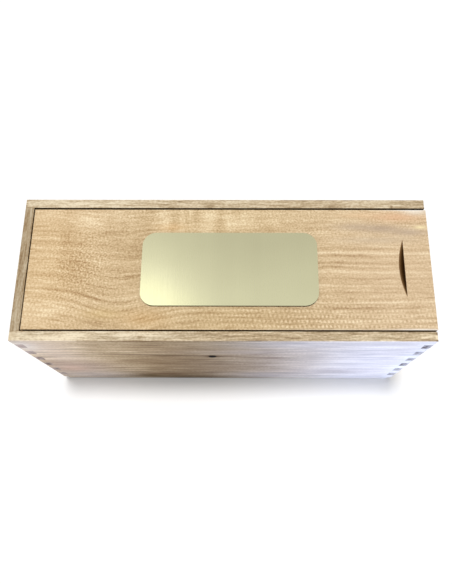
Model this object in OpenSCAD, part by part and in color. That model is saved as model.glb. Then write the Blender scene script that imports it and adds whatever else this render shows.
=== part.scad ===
// Wooden wine box for one bottle. It lies on its bottom board, and a flat lid slides out of its
// right-hand end. The four wall boards meet in finger joints. The front and back boards have a
// groove for the lid along their whole length, the closed end board has one across it, and the
// open end board stops below the lid. The bottom board is glued and nailed under the walls.
// A brass plate is stuck on the lid. The origin is the middle of the underside, +X points to the
// end where the lid comes out, +Y to the back and +Z up. Sizes are in millimetres.

/* [Box] */
// Outside length of the walls
box_l = 350; // [260:1:450]
// Outside width of the walls
box_w = 131; // [110:1:200]
// Height from the underside to the rim
box_h = 131; // [110:1:200]
// Rounding that sanding leaves on the outside edges
edge_r = 1; // [0.4:0.1:2]

/* [Boards] */
// Thickness of the front and back boards
side_t = 8.5; // [6:0.5:14]
// Thickness of the two end boards
end_t = 8; // [6:0.5:14]
// Thickness of the bottom board
bottom_t = 6; // [4:0.5:12]
// Rounding of the bottom board's four corners, seen from above
bottom_corner_r = 6; // [1.5:0.5:10]

/* [Finger joints] */
// Fingers in one corner, counted on both boards, an odd number
finger_count = 13; // [9:2:17]

/* [Lid] */
// Thickness of the lid board
lid_t = 8; // [6:0.5:10]
// How far the lid's top lies below the rim
lid_drop = 0.2; // [0:0.1:1]
// Visible gap between the long boards' rims and the raised field of the lid
lid_gap = 1.4; // [0.6:0.1:2.5]
// Visible gap between the closed end board's rim and the raised field of the lid
lid_end_gap = 0.7; // [0.6:0.1:2.5]
// How far the lid stands out past the open end
lid_overhang = 0.8; // [0:0.1:3]
// Rounding of the lid's top edges
lid_edge_r = 0.6; // [0.3:0.1:1.2]
// Thickness of the tongue that runs in the grooves
tongue_t = 4; // [3:0.25:5]
// Depth of the grooves in the walls
groove_d = 4; // [2.5:0.25:5]
// Play of the tongue above and below
tongue_play = 0.25; // [0.1:0.05:0.5]
// Play between the tongue's edge and the bottom of the groove
groove_play = 0.5; // [0.2:0.1:1]

/* [Finger pull] */
// Length of the crescent across the lid
pull_l = 54; // [30:1:80]
// Width of the crescent along the lid
pull_w = 5.2; // [4:0.1:12]
// Depth of the crescent at its steep wall
pull_d = 4; // [2:0.25:5]
// Distance from the open end of the walls to the steep wall
pull_from_end = 21.9; // [12:0.1:60]

/* [Name plate] */
// Length of the brass plate along the lid
plate_l = 149; // [60:1:200]
// Width of the brass plate
plate_w = 67; // [30:1:90]
// Thickness of the brass plate
plate_t = 1.5; // [0.5:0.1:2]
// Corner radius of the brass plate
plate_corner_r = 12; // [4:0.5:14]
// Place of the plate's middle along the lid
plate_x = 4.8; // [-40:0.1:40]
// Place of the plate's middle across the lid
plate_y = -1.6; // [-10:0.1:10]
// Thickness of the adhesive film
film_t = 0.2; // [0.1:0.05:0.5]
// How far the film's edge lies inside the plate's edge
film_inset = 2; // [1:0.5:4]

/* [Bottom nails] */
// Nails along the front board, and as many along the back board
side_nails = 5; // [3:1:9]
// Nails along each end board
end_nails = 2; // [2:1:4]
// Distance from a corner of the box to the first nail
nail_inset = 30; // [20:1:45]
// Length of a nail
nail_l = 25; // [18:1:35]
// Diameter of the shank
nail_d = 1.4; // [1:0.1:2]
// Diameter of the head
nail_head_d = 2.8; // [2.2:0.1:4]
// Thickness of the head
nail_head_t = 0.8; // [0.5:0.1:1.2]
// Length of the point
nail_point_l = 2.5; // [1.5:0.1:4]
// How deep the head is driven in below the underside
nail_sink = 0.3; // [0.1:0.1:0.8]

/* [Hidden] */
$fn = 64;
// Wood to spare before it is sanded off, and how far a cutter reaches past the wood
spare = min(side_t, end_t) / 8;
cavity_l = box_l - 2 * end_t;
cavity_w = box_w - 2 * side_t;
finger_h = (box_h - bottom_t) / finger_count;
lid_top_z = box_h - lid_drop;
lid_bottom_z = lid_top_z - lid_t;
channel_z = lid_bottom_z - tongue_play;
channel_h = tongue_t + 2 * tongue_play;
tongue_reach = groove_d - groove_play;
pull_x = box_l / 2 - pull_from_end;
pine = [0.82, 0.71, 0.57];
lid_wood = [0.79, 0.65, 0.47];
brass = [0.80, 0.78, 0.60];
steel = [0.62, 0.63, 0.64];
film = [0.90, 0.90, 0.88];

// A flat block that is centred on the origin in X and Y and stands on z = 0
module block(l, w, h) {
    translate([-l / 2, -w / 2, 0]) cube([l, w, h]);
}

// A rectangle with round corners, centred on the origin
module rounded_rectangle(l, w, r) {
    square([l - 2 * r, w], center = true);
    square([l, w - 2 * r], center = true);
    for (sx = [-1, 1], sy = [-1, 1]) {
        translate([sx * (l / 2 - r), sy * (w / 2 - r)]) circle(r = r);
    }
}

// The outside of the box with its edges sanded round. The upright corners have their own radius.
module sanded_outside(corner_r = edge_r) {
    intersection() {
        linear_extrude(box_h) rounded_rectangle(box_l, box_w, corner_r);
        translate([0, box_w / 2, box_h / 2]) rotate([90, 0, 0])
            linear_extrude(box_w) rounded_rectangle(box_l, box_h, edge_r);
        translate([-box_l / 2, 0, box_h / 2]) rotate([90, 0, 90])
            linear_extrude(box_l) rounded_rectangle(box_w, box_h, edge_r);
    }
}

// The channel that the lid's tongue runs in. It stops inside the closed end board and runs out
// at the open end.
module lid_channel() {
    channel_l = cavity_l / 2 + groove_d + box_l / 2 + spare;
    translate([(channel_l - cavity_l) / 2 - groove_d, 0, channel_z])
        block(channel_l, cavity_w + 2 * groove_d, channel_h);
}

// Every second finger slot, from the given one upwards, at both ends of a board that lies
// along X. A slot reaches in by the thickness of the board that it meets.
module finger_slots(length, thickness, reach, first) {
    slot_l = reach + 2 * spare;
    for (side = [-1, 1], i = [first : 2 : finger_count - 1]) {
        low = i == 0 ? -spare : i * finger_h;
        high = i == finger_count - 1 ? (i + 1) * finger_h + 2 * spare : (i + 1) * finger_h;
        translate([side * (length / 2 - reach + slot_l / 2), 0, bottom_t + low])
            block(slot_l, thickness + 4 * spare, high - low);
    }
}

// One nail that points up, with its head driven in below z = 0. With a hole above 0 it is the
// cutter for the nail's hole, open at the underside.
module nail(hole = 0) {
    translate([0, 0, nail_sink - hole])
        cylinder(d = nail_head_d, h = nail_head_t + hole);
    translate([0, 0, nail_sink + nail_head_t])
        cylinder(d = nail_d, h = nail_l - nail_head_t - nail_point_l);
    translate([0, 0, nail_sink + nail_l - nail_point_l])
        cylinder(d1 = nail_d, d2 = 0, h = nail_point_l);
}

// All the nails under the box, each in the middle of the board that it holds
module nail_rows(hole = 0) {
    side_pitch = (box_l - 2 * nail_inset) / (side_nails - 1);
    end_pitch = (box_w - 2 * nail_inset) / (end_nails - 1);
    for (side = [-1, 1], i = [0 : side_nails - 1]) {
        translate([-box_l / 2 + nail_inset + i * side_pitch, side * (box_w - side_t) / 2, 0])
            nail(hole);
    }
    for (side = [-1, 1], i = [0 : end_nails - 1]) {
        translate([side * (box_l - end_t) / 2, -box_w / 2 + nail_inset + i * end_pitch, 0])
            nail(hole);
    }
}

// What every wall board shares. It is sawn with some wood to spare outside, which sanding takes
// off, and drilled by the nails.
module wall() {
    difference() {
        intersection() {
            children();
            sanded_outside();
        }
        nail_rows(spare);
    }
}

// A long board, on the side of the box that is given by -1 for the front or 1 for the back
module long_board(side) {
    wall() translate([0, side * (box_w - side_t) / 2, 0]) difference() {
        translate([0, side * spare / 2, bottom_t])
            block(box_l + 2 * spare, side_t + spare, box_h + spare - bottom_t);
        finger_slots(box_l, side_t, end_t, 1);
    }
}

// An end board, on the side that is given by -1 for the closed end or 1 for the open end, with
// its top edge sawn at the given height
module end_board(side, top) {
    wall() translate([side * (box_l - end_t) / 2, 0, 0]) rotate([0, 0, 90]) difference() {
        translate([0, -side * spare / 2, bottom_t])
            block(box_w + 2 * spare, end_t + spare, top - bottom_t);
        finger_slots(box_w, end_t, side_t, 0);
    }
}

module front_board() {
    color(pine) difference() {
        long_board(-1);
        lid_channel();
    }
}

module back_board() {
    color(pine) difference() {
        long_board(1);
        lid_channel();
    }
}

module closed_end_board() {
    color(pine) difference() {
        end_board(-1, box_h + spare);
        lid_channel();
    }
}

module open_end_board() {
    color(pine) end_board(1, channel_z);
}

module bottom_board() {
    color(pine) difference() {
        intersection() {
            translate([0, 0, -spare]) block(box_l + 2 * spare, box_w + 2 * spare, bottom_t + spare);
            sanded_outside(bottom_corner_r);
        }
        nail_rows(spare);
    }
}

module bottom_nails() {
    color(steel) nail_rows();
}

// The raised field of the lid, with its top edges rounded
module lid_field() {
    field_l = box_l / 2 + lid_overhang + cavity_l / 2 - lid_end_gap;
    field_w = cavity_w - 2 * lid_gap;
    middle_x = box_l / 2 + lid_overhang - field_l / 2;
    translate([middle_x, 0, lid_bottom_z]) intersection() {
        block(field_l, field_w, lid_t);
        translate([0, field_w / 2, 0]) rotate([90, 0, 0])
            linear_extrude(field_w) rounded_rectangle(field_l, 2 * lid_t, lid_edge_r);
        translate([-field_l / 2, 0, 0]) rotate([90, 0, 90])
            linear_extrude(field_l) rounded_rectangle(field_w, 2 * lid_t, lid_edge_r);
    }
}

// The tongue under the field, on both long edges and on the edge at the closed end
module lid_tongue() {
    tongue_l = box_l / 2 + lid_overhang + cavity_l / 2 + tongue_reach;
    translate([box_l / 2 + lid_overhang - tongue_l / 2, 0, lid_bottom_z])
        block(tongue_l, cavity_w + 2 * tongue_reach, tongue_t);
}

// The crescent finger pull. A cone that lies along the lid cuts a slope that deepens towards a
// steep wall, where its rim is widest.
module pull_cutter() {
    rim_r = (pow(pull_l / 2, 2) + pow(pull_d, 2)) / (2 * pull_d);
    run = 2 * pull_w;
    translate([pull_x - run, 0, lid_top_z - pull_d + rim_r]) rotate([0, 90, 0])
        cylinder(r1 = rim_r - pull_d * run / pull_w, r2 = rim_r, h = run);
}

module lid_board() {
    color(lid_wood) difference() {
        union() {
            lid_field();
            lid_tongue();
        }
        pull_cutter();
    }
}

module plate_adhesive() {
    color(film) translate([plate_x, plate_y, lid_top_z]) linear_extrude(film_t)
        rounded_rectangle(plate_l - 2 * film_inset, plate_w - 2 * film_inset,
            plate_corner_r - film_inset);
}

module name_plate() {
    color(brass) translate([plate_x, plate_y, lid_top_z + film_t]) linear_extrude(plate_t)
        rounded_rectangle(plate_l, plate_w, plate_corner_r);
}

front_board();
back_board();
closed_end_board();
open_end_board();
bottom_board();
bottom_nails();
lid_board();
plate_adhesive();
name_plate();
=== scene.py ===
"""The looks of a wooden wine box with a sliding lid and a bare brass plate.

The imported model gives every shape. This script softens the sawn edges, gives each board solid
wood with its own grain, and sets up the brass, the floor, the light and the camera. Materials
are laid out in millimetres of the box's own frame, so they stay on the boards when they move.
"""

import math

import bpy
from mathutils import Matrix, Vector

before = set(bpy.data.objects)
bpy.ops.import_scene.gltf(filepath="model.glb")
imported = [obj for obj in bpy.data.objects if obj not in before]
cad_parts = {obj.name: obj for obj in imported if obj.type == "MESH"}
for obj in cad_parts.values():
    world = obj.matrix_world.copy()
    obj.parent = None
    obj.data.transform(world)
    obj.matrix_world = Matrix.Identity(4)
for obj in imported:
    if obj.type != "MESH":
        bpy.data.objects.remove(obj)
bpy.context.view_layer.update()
scene = bpy.context.scene
MM = 0.001
# A reach so long that a patch ignores that direction
ENDLESS = 1e6
FULL_TURN = 2 * math.pi

# Camera: place in metres, turn in degrees, lens in millimetres, shift in shares of the frame
CAMERA_PLACE = (0.0158, -0.1799, 0.4921)
CAMERA_TURN = (14.53, 0.11, 0.17)
CAMERA_LENS = 28.76
CAMERA_SHIFT = (-0.0260, 0.1272)

# Light: places in metres, powers in watts, headings, cones and the key's softness in degrees
SKY_LEVEL = 0.35
KEY_POWER = 2.2
KEY_SOFTNESS = 11.0
KEY_HEADING = (-6.5, -2.5)
WINDOW_POWER = 31.5
WINDOW_CONE = 28.0
WINDOW_PLACE = (0.50, -0.78, 0.015)
WINDOW_AIM = (0.19, -0.065, 0.08)
WINDOW_COLOUR = (0.42, 0.57, 1.0)
FILL_POWER = 16.0
FILL_CONE = 20.0
FILL_PLACE = (-0.62, -0.78, 0.025)
FILL_AIM = (-0.19, -0.065, 0.10)
FILL_COLOUR = (0.86, 0.88, 1.0)
PANEL_POWER = 0.10
PANEL_SIZE = 0.14
PANEL_PLACE = (-0.215, 0.25, 0.86)
PANEL_AIM = (-0.055, -0.02, 0.13)
# Radius of the window and fill lamps
LAMP_RADIUS = 0.015

# Floor: half its width and its drop under the box in metres, and its levels
FLOOR_HALF = 4.0
FLOOR_DROP = 0.0002
FLOOR_WHITE = 0.86
FLOOR_GLOW = 0.16

# Softened edges, in millimetres
WELD_MM = 0.01
SOFT_EDGE_MM = {"wood": 0.25, "brass": 0.15, "film": 0.03, "nails": 0.08}
SOFT_EDGE_STEPS = 2
SOFT_EDGE_ANGLE = 30.0


def tint(red, green, blue):
    """A linear colour from the 8-bit values that a screen shows."""
    shares = [value / 255 for value in (red, green, blue)]
    linear = [s / 12.92 if s <= 0.04045 else ((s + 0.055) / 1.055) ** 2.4 for s in shares]
    return (*linear, 1.0)


class Signal:
    """A number that varies over a surface. Arithmetic on it adds nodes to its tree."""

    def __init__(self, tree, socket):
        self.tree = tree
        self.socket = socket

    def math(self, operation, *others, clamp=False):
        """The result of a math node on this number and the others."""
        node = self.tree.nodes.new("ShaderNodeMath")
        node.operation = operation
        node.use_clamp = clamp
        for socket, value in zip(node.inputs, (self, *others)):
            plug(self.tree, socket, value)
        return Signal(self.tree, node.outputs[0])

    def __add__(self, other):
        return self.math("ADD", other)

    def __sub__(self, other):
        return self.math("SUBTRACT", other)

    def __mul__(self, other):
        return self.math("MULTIPLY", other)

    def __truediv__(self, other):
        return self.math("DIVIDE", other)

    def __rsub__(self, other):
        return self * -1 + other

    __radd__ = __add__
    __rmul__ = __mul__

    def clamped(self):
        """The same number, kept from 0 to 1."""
        return self.math("ADD", 0.0, clamp=True)

    def rising(self, low, high):
        """0 below low, 1 above high, and a smooth rise between them."""
        node = self.tree.nodes.new("ShaderNodeMapRange")
        node.interpolation_type = "SMOOTHSTEP"
        for name, value in (("Value", self), ("From Min", low), ("From Max", high)):
            plug(self.tree, node.inputs[name], value)
        return Signal(self.tree, node.outputs[0])

    def bell(self, width):
        """1 where the number is 0, and falling off on both sides over the given width."""
        share = self / width
        return (share * share * -1).math("EXPONENT")


def plug(tree, socket, value):
    """Links a signal or a socket to the given socket, or sets it to a plain value."""
    if isinstance(value, Signal):
        tree.links.new(value.socket, socket)
    elif isinstance(value, bpy.types.NodeSocket):
        tree.links.new(value, socket)
    else:
        socket.default_value = value


class Finish:
    """A material in the making, with the place on the piece in millimetres."""

    def __init__(self, name, roughness=0.6, metallic=0.0, specular=0.3):
        self.material = bpy.data.materials.new(name)
        self.material.use_nodes = True
        self.tree = self.material.node_tree
        self.shader = self.tree.nodes["Principled BSDF"]
        self.set("Roughness", roughness)
        self.set("Metallic", metallic)
        self.set("Specular IOR Level", specular)
        where = self.add("ShaderNodeTexCoord")
        self.place = self.scaled(where.outputs["Object"], 1 / MM)
        self.x, self.y, self.z = self.parts(self.place)
        self.normal = self.parts(where.outputs["Normal"])

    def add(self, kind, **settings):
        node = self.tree.nodes.new(kind)
        for name, value in settings.items():
            setattr(node, name, value)
        return node

    def set(self, name, value):
        plug(self.tree, self.shader.inputs[name], value)

    def scaled(self, vector, factor):
        node = self.add("ShaderNodeVectorMath", operation="SCALE")
        plug(self.tree, node.inputs[0], vector)
        node.inputs["Scale"].default_value = factor
        return node.outputs[0]

    def parts(self, vector):
        node = self.add("ShaderNodeSeparateXYZ")
        plug(self.tree, node.inputs[0], vector)
        return [Signal(self.tree, output) for output in node.outputs]

    def vector(self, *numbers):
        """A place or colour from three numbers."""
        node = self.add("ShaderNodeCombineXYZ")
        for socket, value in zip(node.inputs, numbers):
            plug(self.tree, socket, value)
        return node.outputs[0]

    def noise(self, vector, grain, detail=2.0, rough=0.5, seed=0.0):
        """Noise from 0 to 1 whose blobs have about the size of grain, in millimetres."""
        fit = self.add("ShaderNodeMapping")
        plug(self.tree, fit.inputs["Vector"], vector)
        fit.inputs["Location"].default_value = (seed, seed * 1.7, seed * 0.6)
        fit.inputs["Scale"].default_value = [1 / size for size in grain]
        node = self.add("ShaderNodeTexNoise")
        plug(self.tree, node.inputs["Vector"], fit.outputs[0])
        node.inputs["Scale"].default_value = 1.0
        node.inputs["Detail"].default_value = detail
        node.inputs["Roughness"].default_value = rough
        return Signal(self.tree, node.outputs[0])

    def patch(self, vector, centre, reach):
        """1 in the middle of a soft blob and 0 well outside it."""
        fit = self.add("ShaderNodeMapping", vector_type="TEXTURE")
        plug(self.tree, fit.inputs["Vector"], vector)
        fit.inputs["Location"].default_value = centre
        fit.inputs["Scale"].default_value = reach
        square = self.add("ShaderNodeVectorMath", operation="DOT_PRODUCT")
        for socket in square.inputs[:2]:
            plug(self.tree, socket, fit.outputs[0])
        return (Signal(self.tree, square.outputs["Value"]) * -1).math("EXPONENT")

    def spot(self, x, y, reach_x, reach_y, vector=None):
        """A patch seen from above: X, Y and the reaches in millimetres, at any height."""
        vector = self.place if vector is None else vector
        return self.patch(vector, (x, y, 0), (reach_x, reach_y, ENDLESS))

    def front_spot(self, x, z, reach_x, reach_z, vector=None):
        """A patch seen from the front, at any depth."""
        vector = self.place if vector is None else vector
        return self.patch(vector, (x, 0, z), (reach_x, ENDLESS, reach_z))

    def multiplied(self, first, second):
        """One colour darkened by another."""
        return self.mix(1.0, first, second, "MULTIPLY")

    def stained_and_lit(self, amount, colour, stain_and_light, under, softness):
        """The colour with a share of a tint over it, through which the grain of the one under it
        shows. The tints are stains and painted light.
        """
        return self.mix(amount, colour, self.mix(softness, stain_and_light, under, "SOFT_LIGHT"))

    def mix(self, amount, first, second, blend="MIX"):
        """The first colour, with the given share of the second one over it."""
        node = self.add("ShaderNodeMix", data_type="RGBA", blend_type=blend)
        for socket, value in zip((node.inputs[0], node.inputs[6], node.inputs[7]),
                                 (amount, first, second)):
            plug(self.tree, socket, value)
        return node.outputs[2]

    def ramp(self, amount, stops):
        """A colour from a list of (share, colour), read at the given amount."""
        node = self.add("ShaderNodeValToRGB")
        plug(self.tree, node.inputs[0], amount)
        elements = node.color_ramp.elements
        while len(elements) < len(stops):
            elements.new(1.0)
        for element, (share, colour) in zip(elements, stops):
            element.position = share
            element.color = colour
        return node.outputs[0]

    def bump(self, height, depth_mm):
        """Fine relief of the given depth, where height goes from 0 to 1."""
        node = self.add("ShaderNodeBump")
        plug(self.tree, node.inputs["Height"], height)
        node.inputs["Distance"].default_value = depth_mm * MM
        self.set("Normal", node.outputs[0])


def top_corner(node):
    """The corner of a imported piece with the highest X, Y and Z, in millimetres of its own frame."""
    return Vector(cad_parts[node].bound_box[6]) / MM


LID_HIGH = top_corner("lid_board")
FRONT_HIGH = top_corner("front_board")

# Colours of the wood by tone, from the darkest line to the palest
LID_TONES = [
    (0.0, tint(158, 124, 88)),
    (0.35, tint(199, 172, 134)),
    (0.6, tint(220, 194, 157)),
    (1.0, tint(249, 231, 197)),
]
PALE_TONES = [
    (0.0, tint(132, 110, 82)),
    (0.4, tint(178, 156, 124)),
    (0.65, tint(204, 184, 152)),
    (1.0, tint(236, 221, 192)),
]
BROWN_TONES = [
    (0.0, tint(112, 88, 62)),
    (0.45, tint(160, 136, 104)),
    (1.0, tint(198, 182, 154)),
]
# Painted shade on the wood in the gap around the lid and in its grooves
GAP_SHADE_BROWN = tint(76, 46, 8)

# How much a wall board and the lid shine, and the depth of the wood's fine relief
BOARD_SHINE = 0.05
LID_SHINE = 0.25
RELIEF_MM = 0.08

# The lid's grain dips towards the front beside a burr: where, how wide and how deep. From the
# full dip near the lid's front it gets less towards the middle. LID_SWAY bends the whole grain
DIP_X = -90.0
DIP_SPREAD = 36.0
DIP_DEPTH = 14.0
DIP_FULL_Y = -45.0
DIP_SLIGHT_Y = 15.0
DIP_LOSS = 0.65
LID_SWAY = 5.0

# Zones of the lid, each with its middle and its reach in X and Y: the burr, the curl behind the
# plate, the rows of pores, a weaker start of them at the left, and a speckled strip at the back
BURR = (-122.0, 0.0, 26.0, 32.0)
CURL = (-20.0, 52.0, 58.0, 18.0)
ROWS = (75.0, -50.0, 120.0, 18.0)
ROWS_START = (-138.0, -42.0, 34.0, 18.0)
SPECKLED = (40.0, 48.0, 120.0, 16.0)

# The steep wall of the finger pull, and the painted shade in it, darker with depth, by the share of
# the full depth
PULL_X = 153.1
PULL_REACH = (14.0, 40.0)
PULL_DEPTH = 4.0
PULL_SHADE_TONES = [
    (0.06, tint(150, 118, 80)),
    (0.25, tint(112, 80, 46)),
    (0.5, tint(76, 52, 24)),
    (0.8, tint(56, 33, 6)),
]

# Depths below the lid's face: where the painted shade on the wood in the gap starts, where it is full
# and where the grooves start. GAP_EDGE is the width of a soft rim of that painted shade
GAP_START = 0.12
GAP_DEPTH = 0.5
GAP_FLOOR = 4.2
GAP_EDGE = 0.3
# The insides of the walls' lips, which stand above the grooves, and the rim of their painted shade
LIP_X = -167.0
LIP_Y = 57.0
LIP_EDGE = 0.1
# At the closed end the gap's painted shade mostly fades out towards its front
UNSHADED_START_Y = 20.0
UNSHADED_FULL_Y = -30.0
UNSHADED_SHARE = 0.8
# This much of the lid at its open end has no painted gap shade
UNSHADED_END_REACH = 1.0
UNSHADED_END_EDGE = 0.2

# Rows of pores on the lid: from one row to the next, from one pore to the next, and in radians
# how far a row's start is from that of the row before it, and how far it drifts
ROW_PITCH = 4.4
PORE_PITCH = 3.5
ROW_START = 2.3
ROW_DRIFT = 8.0

# Height of the rims, how far down their shades reach, and the ends of the side boards
RIM_Z = FRONT_HIGH.z
RIM_REACH = 3.0
END_X = FRONT_HIGH.x

# Lines along the lid's grain: place in X and Y once the dip is taken out, half length, half
# width, and strength from pale (above 0) to dark (below 0). LINE_STRENGTH weakens all of them
LINE_STRENGTH = 0.8
LID_LINES = [
    (-155.0, 27.6, 26.0, 1.4, 0.20),
    (-150.0, 23.6, 30.0, 1.3, -0.26),
    (-150.0, 17.2, 26.0, 1.1, 0.18),
    (-150.0, 14.0, 26.0, 0.9, -0.12),
    (-150.0, 10.8, 28.0, 0.9, 0.18),
    (-155.0, 2.0, 20.0, 0.9, 0.16),
    (-155.0, -2.0, 20.0, 0.9, 0.16),
    (-152.0, -7.2, 26.0, 1.3, -0.20),
    (-145.0, -12.8, 26.0, 1.3, 0.20),
    (-120.0, -19.6, 44.0, 1.2, -0.30),
    (-135.0, -23.5, 30.0, 1.3, 0.14),
    (-120.0, -26.6, 46.0, 1.1, -0.20),
    (-92.0, -22.5, 24.0, 1.2, 0.18),
    (-86.0, -17.4, 22.0, 1.1, 0.16),
    (-84.0, -4.3, 24.0, 1.1, 0.14),
    (-84.0, -0.8, 24.0, 1.1, -0.14),
    (-84.0, 11.3, 26.0, 1.2, 0.16),
    (-84.0, 14.8, 26.0, 1.2, -0.16),
    (-60.0, -30.5, 50.0, 1.2, 0.14),
    (-20.0, -38.5, 50.0, 0.9, 0.16),
    (-20.0, -41.5, 50.0, 0.9, -0.12),
    (-20.0, -44.5, 60.0, 0.9, 0.14),
    (100.0, 34.0, 50.0, 0.9, 0.20),
    (130.0, 20.0, 60.0, 0.8, 0.14),
    (125.0, 17.0, 50.0, 1.6, -0.22),
    (130.0, 13.2, 80.0, 1.0, 0.42),
    (115.0, 10.2, 44.0, 1.2, -0.34),
    (120.0, 6.8, 60.0, 0.6, 0.22),
    (112.0, 4.2, 42.0, 1.1, -0.30),
    (120.0, 1.8, 60.0, 0.6, 0.18),
    (108.0, -0.4, 42.0, 1.1, -0.24),
    (130.0, -4.4, 80.0, 1.0, 0.34),
    (130.0, -10.0, 50.0, 1.2, -0.20),
    (110.0, -16.4, 50.0, 0.8, 0.22),
    (110.0, -22.0, 50.0, 1.2, -0.20),
    (125.0, -31.2, 80.0, 0.9, 0.38),
    (120.0, -36.0, 60.0, 1.2, -0.18),
    (115.0, -41.2, 60.0, 0.7, 0.24),
    (120.0, -46.5, 50.0, 0.7, 0.20),
]

# Broad light and dark places on the lid: X, Y, reach in X and Y, strength
LID_SHADES = [
    (-117.0, 44.5, 17.0, 8.0, 0.26),
    (-150.0, 50.0, 16.0, 8.0, 0.10),
    (-154.0, -24.0, 14.0, 20.0, 0.10),
    (-148.0, -42.0, 24.0, 10.0, 0.14),
    (-136.0, 28.0, 6.0, 14.0, -0.16),
    (-130.0, 8.0, 14.0, 18.0, -0.12),
    (-124.0, -3.0, 16.0, 16.0, -0.10),
    (-112.0, -20.0, 16.0, 7.0, -0.08),
    (-136.0, -46.0, 10.0, 4.0, -0.16),
    (-106.0, -48.0, 14.0, 6.0, -0.14),
    (-104.0, 31.0, 20.0, 3.0, -0.16),
    (-84.0, 40.0, 16.0, 3.0, -0.10),
    (-72.0, 20.0, 8.0, 14.0, -0.10),
    (-80.0, -4.0, 18.0, 34.0, -0.10),
    (-51.0, 46.0, 4.0, 14.0, 0.16),
    (-36.0, 45.0, 4.0, 14.0, 0.16),
    (-13.6, 46.0, 5.0, 14.0, 0.26),
    (14.0, 44.0, 14.0, 8.0, 0.20),
    (-4.0, 45.0, 4.0, 14.0, -0.14),
    (-44.0, 45.0, 4.0, 14.0, -0.14),
    (45.0, 36.0, 24.0, 3.0, -0.18),
    (-30.0, -46.0, 60.0, 10.0, -0.14),
    (40.0, -46.0, 50.0, 9.0, -0.12),
    (108.0, 26.0, 26.0, 4.0, 0.08),
    (125.0, 54.0, 36.0, 3.0, 0.12),
]

# How much of the grain shows through the stains and painted highlights on the lid, and through the
# marks and painted light and shade on the front board
LID_TINT_SOFTNESS = 0.55
MARK_SOFTNESS = 0.7

# Tinted places on the lid, stains and painted highlights: X, Y, reach in X and Y, colour, strength
LID_STAINS_AND_HIGHLIGHTS = [
    (-5.0, 0.0, 85.0, 200.0, tint(216, 198, 152), 0.22),
    (-152.0, 0.0, 44.0, 80.0, tint(229, 195, 146), 0.25),
    (-46.0, 38.0, 12.0, 4.0, tint(208, 162, 106), 0.30),
    (-100.0, -42.0, 16.0, 5.0, tint(212, 190, 146), 0.45),
    (-66.0, -46.0, 20.0, 8.0, tint(206, 166, 112), 0.30),
    (150.0, -6.0, 56.0, 50.0, tint(217, 195, 170), 0.45),
    (150.0, 48.5, 22.0, 4.5, tint(220, 180, 152), 0.70),
    (116.0, 50.0, 16.0, 2.5, tint(224, 190, 158), 0.50),
    # Painted highlight: a pale wash at the back corner of the open end
    (167.0, 54.0, 11.0, 3.5, tint(250, 243, 232), 0.65),
    (112.0, 39.0, 18.0, 4.0, tint(186, 172, 156), 0.80),
    (136.0, 37.0, 18.0, 4.0, tint(178, 164, 150), 0.90),
    (160.0, 33.5, 16.0, 3.5, tint(184, 170, 156), 0.85),
    (169.5, 38.5, 5.0, 1.6, tint(252, 236, 196), 0.80),
    (132.0, 26.0, 34.0, 3.5, tint(196, 182, 164), 0.65),
    (90.0, 48.0, 34.0, 9.0, tint(210, 190, 162), 0.45),
    (20.0, 48.0, 60.0, 10.0, tint(214, 196, 168), 0.30),
    # Painted highlights along the lid's front and back edges
    (162.0, -55.2, 22.0, 0.9, tint(252, 246, 238), 0.80),
    (90.0, -55.2, 60.0, 0.8, tint(248, 238, 220), 0.35),
    (160.0, 55.2, 20.0, 0.8, tint(252, 246, 238), 0.70),
]


def gap_shade(wood, depth):
    """Where the painted gap shade goes: 1 on the wood that shows in the gap around the lid, less
    towards the front of the closed end, and 0 inside the grooves."""
    between_lips = wood.y.math("ABSOLUTE").rising(LIP_Y + GAP_EDGE, LIP_Y)
    from_closed_end = wood.x.rising(LIP_X - GAP_EDGE, LIP_X)
    above_groove = depth.rising(GAP_FLOOR, GAP_FLOOR - GAP_EDGE)
    at_closed_end = wood.x.rising(LIP_X + 3.0, LIP_X + 2.0)
    unshaded = at_closed_end * wood.y.rising(UNSHADED_START_Y, UNSHADED_FULL_Y)
    shade = between_lips * from_closed_end * above_groove * depth.rising(GAP_START, GAP_DEPTH)
    return shade * (1 - unshaded * UNSHADED_SHARE)


def lid_tone(wood):
    """How pale the lid is from place to place, and the fine grain that its relief follows."""
    sway = (wood.noise(wood.place, (90, 60, 60), detail=1, seed=3.1) - 0.5) * LID_SWAY
    dip = (wood.x - DIP_X).bell(DIP_SPREAD)
    dip = dip * (1 - wood.y.rising(DIP_FULL_Y, DIP_SLIGHT_Y) * DIP_LOSS)
    across = wood.y + dip * DIP_DEPTH + sway
    grain = wood.vector(wood.x, across, wood.z)
    bands = wood.noise(grain, (70, 3.6, 8), detail=2, rough=0.6, seed=1.3) - 0.5
    streaks = wood.noise(grain, (11, 1.4, 2), detail=2, rough=0.6, seed=5.2) - 0.5
    specks = wood.noise(wood.place, (1.6, 1.4, 1.4), detail=1, seed=4.4) - 0.5
    cloud = wood.noise(wood.place, (30, 14, 20), detail=2, seed=6.0) - 0.5
    curl = wood.noise(wood.place, (7, 70, 30), detail=1, seed=2.2) - 0.5
    burr = wood.spot(*BURR)
    tone = 0.48 + bands * 0.45 + streaks * (0.8 - burr * 0.4) + specks * (burr * 1.1 + 0.8)
    tone = tone + specks * wood.spot(*SPECKLED) * 0.6
    tone = tone + cloud * 0.25 + curl * wood.spot(*CURL) * 0.9
    tone = tone + pores(wood, grain, across)
    for x, y, length, width, strength in LID_LINES:
        line = wood.spot(x, y, length, width, grain)
        tone = tone + line * (strength * LINE_STRENGTH)
    for x, y, reach_x, reach_y, strength in LID_SHADES:
        tone = tone + wood.spot(x, y, reach_x, reach_y) * strength
    return tone, streaks + specks


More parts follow.
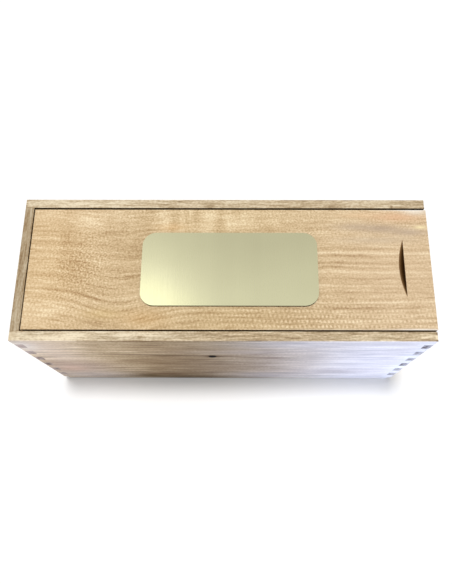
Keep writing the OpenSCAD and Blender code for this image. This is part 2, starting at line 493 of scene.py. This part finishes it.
def pores(wood, grain, across):
    """Rows of pale pores along the grain, each row with its own start."""
    row = (across * (FULL_TURN / ROW_PITCH)).math("SINE") * 0.5 + 0.5
    own_start = (across / ROW_PITCH + 0.25).math("FLOOR") * ROW_START
    drift = wood.noise(grain, (34, 60, 2), detail=1, seed=8.4) * ROW_DRIFT
    dots = (wood.x * (FULL_TURN / PORE_PITCH) + own_start + drift).math("SINE") * 0.5 + 0.5
    zone = wood.spot(*ROWS) + wood.spot(*ROWS_START) * 0.5
    return (row * dots - 0.25) * (zone * 0.34 + 0.12)


def lid_wood():
    """The lid: golden wood with swaying grain, a burr, curl behind the plate and rows of pores."""
    wood = Finish("lid_wood", specular=LID_SHINE)
    tone, fine_grain = lid_tone(wood)
    colour = wood.ramp(tone.clamped(), LID_TONES)
    for x, y, reach_x, reach_y, stain_and_light, strength in LID_STAINS_AND_HIGHLIGHTS:
        amount = wood.spot(x, y, reach_x, reach_y) * strength
        colour = wood.stained_and_lit(amount, colour, stain_and_light, colour, LID_TINT_SOFTNESS)
    # Painted shade in the gap around the lid, left off at its open end
    depth = LID_HIGH.z - wood.z
    unshaded_end_x = LID_HIGH.x - UNSHADED_END_REACH
    unshaded_end = wood.x.rising(unshaded_end_x, unshaded_end_x + UNSHADED_END_EDGE)
    colour = wood.mix(gap_shade(wood, depth) * (1 - unshaded_end), colour, GAP_SHADE_BROWN)
    # Painted shade in the finger pull, darker with depth
    pull = wood.spot(PULL_X, 0, *PULL_REACH).rising(0.3, 0.6)
    pull_shade = wood.ramp(depth / PULL_DEPTH, PULL_SHADE_TONES)
    colour = wood.mix(pull * depth.rising(0.05, 0.35), colour, pull_shade)
    wood.set("Base Color", colour)
    wood.set("Roughness", 0.72 - tone * 0.2)
    wood.bump(fine_grain, RELIEF_MM)
    return wood.material


# Marks on the front board, seen from the front: X, Z, reach in X and Z, colour, strength. They are
# real stains and painted light and shade: paler towards both ends, darker in the middle, and painted
# shade under the rim and near the floor
FRONT_STAINS_AND_LIGHT = [
    # Paler towards the closed end and at its top corner: pinkish wood with painted light
    (-150.0, 97.0, 26.0, 80.0, tint(214, 202, 194), 0.80),
    (-170.0, 118.0, 14.0, 18.0, tint(230, 228, 228), 0.70),
    (-138.0, 66.0, 40.0, 8.0, tint(184, 164, 146), 0.35),
    (-148.0, 46.0, 42.0, 24.0, tint(160, 148, 148), 0.80),
    (-152.0, 41.0, 14.0, 14.0, tint(210, 184, 174), 0.50),
    (-140.0, 14.0, 50.0, 16.0, tint(184, 180, 184), 0.80),
    # Darker in the middle: olive-brown wood with painted shade
    (-35.0, 111.0, 60.0, 22.0, tint(168, 150, 130), 0.60),
    (-58.0, 64.0, 36.0, 34.0, tint(132, 112, 88), 0.75),
    (-11.0, 42.0, 44.0, 60.0, tint(148, 134, 126), 0.70),
    (46.0, 64.0, 36.0, 50.0, tint(160, 148, 144), 0.55),
    (56.0, 124.0, 60.0, 16.0, tint(214, 212, 214), 0.60),
    (34.0, 14.0, 46.0, 14.0, tint(204, 202, 208), 0.55),
    (-60.0, 22.0, 34.0, 12.0, tint(112, 92, 74), 0.75),
    (-57.0, 17.0, 12.0, 3.0, tint(84, 60, 40), 0.60),
    (-80.0, 12.0, 14.0, 6.0, tint(104, 90, 56), 0.70),
    # Painted shade near the floor
    (-50.0, 4.0, 56.0, 8.0, tint(94, 84, 74), 0.70),
    # Paler and greyer towards the open end, partly a painted sheen of daylight
    (136.0, 60.0, 70.0, 200.0, tint(226, 221, 219), 0.90),
    (108.0, 32.0, 38.0, 9.0, tint(176, 170, 172), 0.70),
    # Painted sheen: nearly white at the open end
    (172.0, 66.0, 12.0, 90.0, tint(248, 248, 244), 0.40),
    (16.0, 99.0, 56.0, 7.0, tint(206, 198, 198), 0.40),
    (112.0, 99.0, 24.0, 8.0, tint(186, 184, 188), 0.40),
    # Painted shade under the rim
    (-80.0, 129.8, 80.0, 1.0, tint(104, 74, 42), 0.60),
]

# The knot on the front board, and the long dark grain line through it, which falls slightly
# towards the open end
KNOT_X = -11.3
KNOT_Z = 86.0
KNOT_CORE = (3.3, 3.4)
KNOT_HALO = (6.0, 3.4)
KNOT_BLACK = tint(14, 6, 3)
HALO_BROWN = tint(84, 56, 40)
LINE_X = -50.0
LINE_RISE = 1.0
LINE_REACH = (70.0, 1.3)
LINE_FALL = 0.065
LINE_BROWN = tint(92, 66, 46)
# A short dark dash to the right of the knot: X, Z and its reach
DASH = (44.0, 81.0, 13.0, 1.6)
DASH_BROWN = tint(116, 88, 80)


def front_stains_and_light(wood, colour):
    """The broad stains with painted light and shade, the long grain line and the knot on the outside
    of the front board.
    """
    plain = colour
    for x, z, reach_x, reach_z, stain_and_light, strength in FRONT_STAINS_AND_LIGHT:
        amount = wood.front_spot(x, z, reach_x, reach_z) * strength
        colour = wood.stained_and_lit(amount, colour, stain_and_light, plain, MARK_SOFTNESS)
    level = wood.z + (wood.x - KNOT_X) * LINE_FALL
    along = wood.vector(wood.x, wood.y, level)
    line = wood.front_spot(LINE_X, KNOT_Z + LINE_RISE, *LINE_REACH, vector=along)
    dash = wood.front_spot(*DASH)
    halo = wood.front_spot(KNOT_X, KNOT_Z, *KNOT_HALO)
    core = wood.front_spot(KNOT_X, KNOT_Z, *KNOT_CORE).rising(0.15, 0.5)
    colour = wood.mix(line * 0.75, colour, LINE_BROWN)
    colour = wood.mix(dash * 0.6, colour, DASH_BROWN)
    colour = wood.mix(halo * 0.9, colour, HALO_BROWN)
    colour = wood.mix(core, colour, KNOT_BLACK)
    outside = wood.normal[1].rising(-0.3, -0.7)
    return wood.mix(outside, plain, colour)


# Painted shade along the lower edge of the bottom board: its height, its strength, and how much less
# it is towards the open end
FOOT_SHADE_TOP = 3.0
FOOT_SHADE_STRENGTH = 0.45
FOOT_SHADE_LOSS = 0.7
FOOT_SHADE_LESS_X = 90.0
FOOT_SHADE_COLOUR = tint(70, 62, 54)


def bottom_stains_and_light(wood, colour):
    """The front board's stains and painted light and shade, which run on, and painted shade along the
    lower edge of the bottom board.
    """
    colour = front_stains_and_light(wood, colour)
    # Painted shade along the lower edge, less towards the open end
    foot_shade = wood.z.rising(FOOT_SHADE_TOP, 0.0) * (1 - wood.x.rising(0.0, FOOT_SHADE_LESS_X) * FOOT_SHADE_LOSS)
    return wood.mix(foot_shade * FOOT_SHADE_STRENGTH, colour, FOOT_SHADE_COLOUR)


# The heart of the tree that a board is sawn from, across the board and in height, and how far
# the rings around it sway
PITH_ACROSS = 60.0
PITH_Z = -150.0
BOARD_SWAY = 8.0

# Shades along the rims: X, Y, reach in X and Y, strength from pale (above 0) to dark
RIM_SHADES = [
    (-145.0, -61.0, 44.0, 6.0, 0.26),
    (-70.0, -61.0, 46.0, 6.0, 0.36),
    (-145.0, 61.0, 44.0, 6.0, 0.28),
    (-162.0, 61.0, 18.0, 6.0, 0.12),
    (30.0, -61.0, 50.0, 6.0, -0.16),
    (0.0, 61.0, 50.0, 6.0, 0.06),
    (135.0, 61.0, 50.0, 6.0, 0.20),
    (135.0, -61.0, 50.0, 6.0, -0.02),
    (-11.6, 59.2, 4.0, 2.5, -0.25),
    (146.0, 58.3, 1.2, 1.2, -0.60),
    (-67.0, -62.0, 2.5, 1.2, -0.30),
    (174.4, -58.8, 1.1, 0.8, -0.90),
    (174.4, -65.0, 1.3, 1.0, -0.90),
    (174.2, -61.8, 1.2, 1.6, 0.70),
    (-171.0, 57.2, 6.0, 0.5, -0.50),
    (-171.0, -57.2, 6.0, 0.5, -0.50),
    (-174.4, 58.8, 1.3, 1.0, -0.80),
    (-171.0, -44.0, 6.0, 14.0, 0.18),
    (-171.0, 0.0, 6.0, 60.0, 0.08),
]


# End grain: the tint of its dark places on the side boards and on the two ends, and the colour of the
# ends' pale places. On the ends, the tints' bluish cast and the pale colours are painted daylight
SIDE_ENDS = (0.50, 0.47, 0.45, 1.0)
WARM_ENDS = (0.42, 0.44, 0.60, 1.0)
COLD_ENDS = (0.28, 0.30, 0.46, 1.0)
WARM_PAINTED_LIGHT = tint(188, 172, 166)
COLD_PAINTED_LIGHT = tint(206, 198, 188)
# Finger ends are darkest at this height. The closed end's get paler above and below, where their
# painted light shows, and the open end's are dark again at every third finger
ENDS_DARK_Z = 59.0
ENDS_DARK_REACH = 46.0
ENDS_DARK_PITCH = 57.7
# Near the box's upright corners, and in scattered spots, the ends are less dark
CORNER_REACH = 5.0
LESS_DARK_SHARE = 0.6
# An end board has its own tint and pale colour, its painted daylight, on the fingers at the front
# only. Within this distance of the middle they change to those of the side boards
ENDS_CHANGE_Y = 20.0


def end_grain(wood, colour, seed, dark_tint, pale):
    """The sawn ends of a board's fingers: dark in places that differ from finger to finger, and pale
    in scattered spots and near the box's corner. On an end board's front fingers the bluish cast and
    the pale colour are painted daylight."""
    uneven = wood.noise(wood.place, (60, 60, 16), detail=1, seed=seed + 6) + 0.5
    level = wood.z - ENDS_DARK_Z
    at_closed_end = wood.x.rising(0.0, -END_X)
    every_third = (level * (FULL_TURN / ENDS_DARK_PITCH)).math("COSINE") * 0.25 + 0.75
    by_height = (level.bell(ENDS_DARK_REACH) - every_third) * at_closed_end + every_third
    scattered_spots = wood.noise(wood.place, (2.5, 2.5, 2.0), detail=1, seed=seed + 7).rising(0.45, 0.6)
    corner = wood.x.math("ABSOLUTE").rising(END_X - CORNER_REACH, END_X)
    dark = uneven * by_height * (1 - corner * LESS_DARK_SHARE) * (1 - scattered_spots * LESS_DARK_SHARE)
    # Painted daylight on an end board's front fingers: its bluish tint and pale colour
    in_front = wood.y.rising(ENDS_CHANGE_Y, -ENDS_CHANGE_Y)
    shade = wood.mix(in_front, SIDE_ENDS, dark_tint)
    pale = wood.mix(in_front, colour, pale)
    return wood.mix(dark.clamped(), pale, wood.multiplied(colour, shade))


def lip_gap_shade(wood):
    """Where the painted gap shade goes on a board: 1 on the walls' lips that show in the gap around
    the lid, and 0 on the rest of a board.
    """
    between_lips = wood.y.math("ABSOLUTE").rising(LIP_Y + LIP_EDGE, LIP_Y)
    from_closed_end = wood.x.rising(LIP_X - LIP_EDGE, LIP_X)
    before_open_end = wood.x.rising(END_X - LIP_EDGE, END_X - 0.5)
    shown = gap_shade(wood, LID_HIGH.z - wood.z)
    return between_lips * from_closed_end * before_open_end * shown


def growth_rings(wood, length, width, seed):
    """Bands about 0, where a board cuts through the rings around the heart of the tree."""
    sway = (wood.noise(wood.place, (110, 50, 50), detail=1, seed=seed) - 0.5) * BOARD_SWAY
    flat, deep = width - PITH_ACROSS, wood.z - PITH_Z
    radius = (flat * flat + deep * deep).math("SQRT") + sway
    ring = wood.vector(length, radius, 0.0)
    return wood.noise(ring, (150, 2.8, 9), detail=3, rough=0.6, seed=seed + 1) - 0.5


def board_wood(name, along, tones, seed, end_tint, end_pale=None, marks_and_light=None):
    """A board whose grain runs along the given axis, 0 for X and 1 for Y. The dark places of its
    finger ends have the given end tint, and the pale ones the given pale colour, or else the board's
    own colour. The given function of marks adds the stains and the painted light and shade that are
    on this board alone."""
    wood = Finish(name, specular=BOARD_SHINE)
    sides = (wood.x, wood.y)
    length, width = sides[along], sides[1 - along]
    grain = wood.vector(length, width, wood.z)
    bands = growth_rings(wood, length, width, seed)
    streaks = wood.noise(grain, (22, 1.7, 1.7), detail=2, rough=0.6, seed=seed + 2) - 0.5
    specks = wood.noise(grain, (2.4, 1.4, 1.4), detail=1, seed=seed + 3) - 0.5
    cloud = wood.noise(grain, (34, 12, 12), detail=2, seed=seed + 4) - 0.5
    stripes = wood.noise(grain, (46, 4.5, 4.5), detail=1, seed=seed + 5) - 0.5
    hairs = wood.noise(grain, (9.0, 1.0, 1.0), detail=1, seed=seed + 8) - 0.5
    rim = wood.normal[2].rising(0.6, 0.9)
    tone = 0.55 + bands * 0.8 + streaks * 0.8 + specks * 0.7 + hairs * rim * 0.9
    tone = tone + (cloud * 0.6 + stripes * 0.5) * (1 - rim * 0.6)
    for x, y, reach_x, reach_y, strength in RIM_SHADES:
        shade = wood.patch(wood.place, (x, y, RIM_Z), (reach_x, reach_y, RIM_REACH))
        tone = tone + shade * strength
    colour = wood.ramp(tone.clamped(), tones)
    if marks_and_light:
        relief = 1.0 + (bands + streaks * 0.6 + stripes) * 0.32
        colour = wood.multiplied(marks_and_light(wood, colour), relief)
    ends = end_grain(wood, colour, seed, end_tint, end_pale or colour)
    sawn_across = wood.normal[along].math("ABSOLUTE").rising(0.6, 0.9)
    colour = wood.mix(sawn_across, colour, ends)
    # Painted shade on the walls' lips in the gap around the lid
    colour = wood.mix(lip_gap_shade(wood), colour, GAP_SHADE_BROWN)
    wood.set("Base Color", colour)
    wood.set("Roughness", 0.75 - tone * 0.2)
    wood.bump(streaks + specks, RELIEF_MM)
    return wood.material


# Tones of the brass from cool to warm, whose pale warm end towards the plate's lower left is partly a
# painted highlight, the colour of its dark side faces, and the tones of the steel and the film
BRASS_TONES = [
    (0.0, tint(188, 184, 150)),
    (0.5, tint(208, 205, 168)),
    (1.0, tint(228, 227, 178)),
]
BRASS_EDGE = tint(40, 33, 20)
STEEL_TONES = [(0.2, tint(120, 120, 122)), (0.8, tint(190, 190, 188))]
FILM_TONES = [(0.3, tint(222, 222, 214)), (0.7, tint(238, 238, 232))]


def brass():
    """Satin brass, brushed across, with nothing on it, paler and warmer towards the lower left,
    partly as a painted highlight, and with dark side faces.
    """
    metal = Finish("brass", roughness=0.36, metallic=1.0, specular=0.5)
    brushing = metal.noise(metal.place, (0.35, 60, 20), detail=2, seed=1.0)
    bands = metal.noise(metal.place, (16, 400, 20), detail=1, seed=7.7) - 0.5
    cloud = metal.noise(metal.place, (50, 30, 20), detail=1, seed=3.3) - 0.5
    # Warmer and paler towards the lower left, partly a painted highlight
    low = metal.y.rising(36, -44)
    left = metal.x.rising(10, -80)
    warmth_and_highlight = 0.05 + low * 0.45 + left * 0.25 + bands * 0.12 + cloud * 0.2
    colour = metal.ramp(warmth_and_highlight.clamped(), BRASS_TONES)
    face = metal.normal[2].rising(0.3, 0.7)
    metal.set("Base Color", metal.mix(face, BRASS_EDGE, colour))
    metal.set("Roughness", 0.22 + brushing * 0.08)
    metal.bump(brushing, 0.01)
    return metal.material


def steel():
    """Nail steel with brighter and duller places from the hammer."""
    metal = Finish("nail_steel", roughness=0.4, metallic=1.0, specular=0.5)
    wear = metal.noise(metal.place, (0.5, 0.5, 0.5), detail=2, seed=2.0)
    metal.set("Base Color", metal.ramp(wear, STEEL_TONES))
    metal.set("Roughness", 0.35 + wear * 0.25)
    return metal.material


def adhesive():
    """Cloudy white adhesive film."""
    film = Finish("adhesive_film", roughness=0.5)
    cloud = film.noise(film.place, (6, 6, 6), detail=2, seed=9.0)
    film.set("Base Color", film.ramp(cloud, FILM_TONES))
    film.set("Roughness", 0.4 + cloud * 0.2)
    return film.material


# The front and the bottom board have the same seed, so that the grain runs on between them
FRONT_WOOD = board_wood("front_wood", 0, PALE_TONES, 11.0, SIDE_ENDS, marks_and_light=front_stains_and_light)
BACK_WOOD = board_wood("back_wood", 0, PALE_TONES, 23.0, SIDE_ENDS)
CLOSED_END_WOOD = board_wood("closed_end_wood", 1, BROWN_TONES, 31.0, WARM_ENDS, WARM_PAINTED_LIGHT)
OPEN_END_WOOD = board_wood("open_end_wood", 1, PALE_TONES, 47.0, COLD_ENDS, COLD_PAINTED_LIGHT)
BOTTOM_WOOD = board_wood("bottom_wood", 0, PALE_TONES, 11.0, SIDE_ENDS, marks_and_light=bottom_stains_and_light)

# The material of each piece, and the kind of its softened edges
FINISHES = {
    "front_board": (FRONT_WOOD, "wood"),
    "back_board": (BACK_WOOD, "wood"),
    "closed_end_board": (CLOSED_END_WOOD, "wood"),
    "open_end_board": (OPEN_END_WOOD, "wood"),
    "bottom_board": (BOTTOM_WOOD, "wood"),
    "lid_board": (lid_wood(), "wood"),
    "name_plate": (brass(), "brass"),
    "plate_adhesive": (adhesive(), "film"),
    "bottom_nails": (steel(), "nails"),
}


def soften(piece, width_mm):
    """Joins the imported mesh's split corners and rounds its sharp edges a little."""
    weld = piece.modifiers.new("Weld", "WELD")
    weld.merge_threshold = WELD_MM * MM
    bevel = piece.modifiers.new("Bevel", "BEVEL")
    bevel.limit_method = "ANGLE"
    bevel.angle_limit = math.radians(SOFT_EDGE_ANGLE)
    bevel.width = width_mm * MM
    bevel.segments = SOFT_EDGE_STEPS


def dress():
    """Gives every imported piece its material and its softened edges."""
    for name, (material, kind) in FINISHES.items():
        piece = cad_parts[name]
        piece.data.materials.clear()
        piece.data.materials.append(material)
        soften(piece, SOFT_EDGE_MM[kind])


def only_seen_rays(tree):
    """1 for what the camera sees, also in metal or through glass, and 0 for the light."""
    rays = tree.nodes.new("ShaderNodeLightPath").outputs
    seen = Signal(tree, rays["Is Camera Ray"])
    for name in ("Is Glossy Ray", "Is Transmission Ray"):
        seen = seen.math("MAXIMUM", Signal(tree, rays[name]))
    return seen


def make_sky():
    """A plain white sky, which looks fully white and lights the box at its own level."""
    world = bpy.data.worlds.new("studio")
    world.use_nodes = True
    scene.world = world
    tree = world.node_tree
    sky = tree.nodes["Background"]
    sky.inputs["Color"].default_value = (1.0, 1.0, 1.0, 1.0)
    plug(tree, sky.inputs["Strength"], only_seen_rays(tree) * (1 - SKY_LEVEL) + SKY_LEVEL)


def make_floor():
    """A pale floor that looks white except where the box shades it."""
    mesh = bpy.data.meshes.new("floor")
    places = [(x * FLOOR_HALF, y * FLOOR_HALF, -FLOOR_DROP)
              for x, y in ((-1, -1), (1, -1), (1, 1), (-1, 1))]
    mesh.from_pydata(places, [], [(0, 1, 2, 3)])
    floor = bpy.data.objects.new("floor", mesh)
    scene.collection.objects.link(floor)
    paint = bpy.data.materials.new("floor_white")
    paint.use_nodes = True
    tree = paint.node_tree
    shader = tree.nodes["Principled BSDF"]
    shader.inputs["Base Color"].default_value = (FLOOR_WHITE, FLOOR_WHITE, FLOOR_WHITE, 1.0)
    shader.inputs["Roughness"].default_value = 0.9
    shader.inputs["Specular IOR Level"].default_value = 0.0
    shader.inputs["Emission Color"].default_value = (1.0, 1.0, 1.0, 1.0)
    plug(tree, shader.inputs["Emission Strength"], only_seen_rays(tree) * FLOOR_GLOW)
    mesh.materials.append(paint)


def add_lamp(name, kind, power, place, target=None):
    """A lamp that metal doesn't mirror, pointed at the target where there is one."""
    lamp = bpy.data.objects.new(name, bpy.data.lights.new(name, kind))
    lamp.data.energy = power
    lamp.location = place
    if target:
        lamp.rotation_euler = (Vector(target) - Vector(place)).to_track_quat("-Z", "Y").to_euler()
    lamp.visible_glossy = False
    scene.collection.objects.link(lamp)
    return lamp


def add_window(name, power, place, target, colour, cone):
    """A low spot of daylight with a soft rim, on one end of the front."""
    lamp = add_lamp(name, "SPOT", power, place, target)
    lamp.data.color = colour
    lamp.data.spot_size = math.radians(cone)
    lamp.data.spot_blend = 1.0
    lamp.data.shadow_soft_size = LAMP_RADIUS


def make_light():
    """A soft key light from above and behind, daylight on both ends of the front, and a panel
    that the brass mirrors."""
    key = add_lamp("key", "SUN", KEY_POWER, (0, 0, 1))
    key.data.angle = math.radians(KEY_SOFTNESS)
    key.rotation_euler = [math.radians(turn) for turn in (*KEY_HEADING, 0.0)]
    add_window("window", WINDOW_POWER, WINDOW_PLACE, WINDOW_AIM, WINDOW_COLOUR, WINDOW_CONE)
    add_window("fill", FILL_POWER, FILL_PLACE, FILL_AIM, FILL_COLOUR, FILL_CONE)
    panel = add_lamp("panel", "AREA", PANEL_POWER, PANEL_PLACE, PANEL_AIM)
    panel.data.size = PANEL_SIZE
    panel.visible_glossy = True
    panel.visible_camera = False


def make_camera():
    """The camera that the photo was taken with, as fitted to the box's corners and edges."""
    camera = bpy.data.objects.new("camera", bpy.data.cameras.new("camera"))
    camera.location = CAMERA_PLACE
    camera.rotation_euler = [math.radians(turn) for turn in CAMERA_TURN]
    camera.data.lens = CAMERA_LENS
    camera.data.shift_x, camera.data.shift_y = CAMERA_SHIFT
    camera.data.clip_start = 0.01
    scene.collection.objects.link(camera)
    scene.camera = camera


make_camera()
dress()
make_sky()
make_floor()
make_light()
scene.view_settings.view_transform = "Standard"
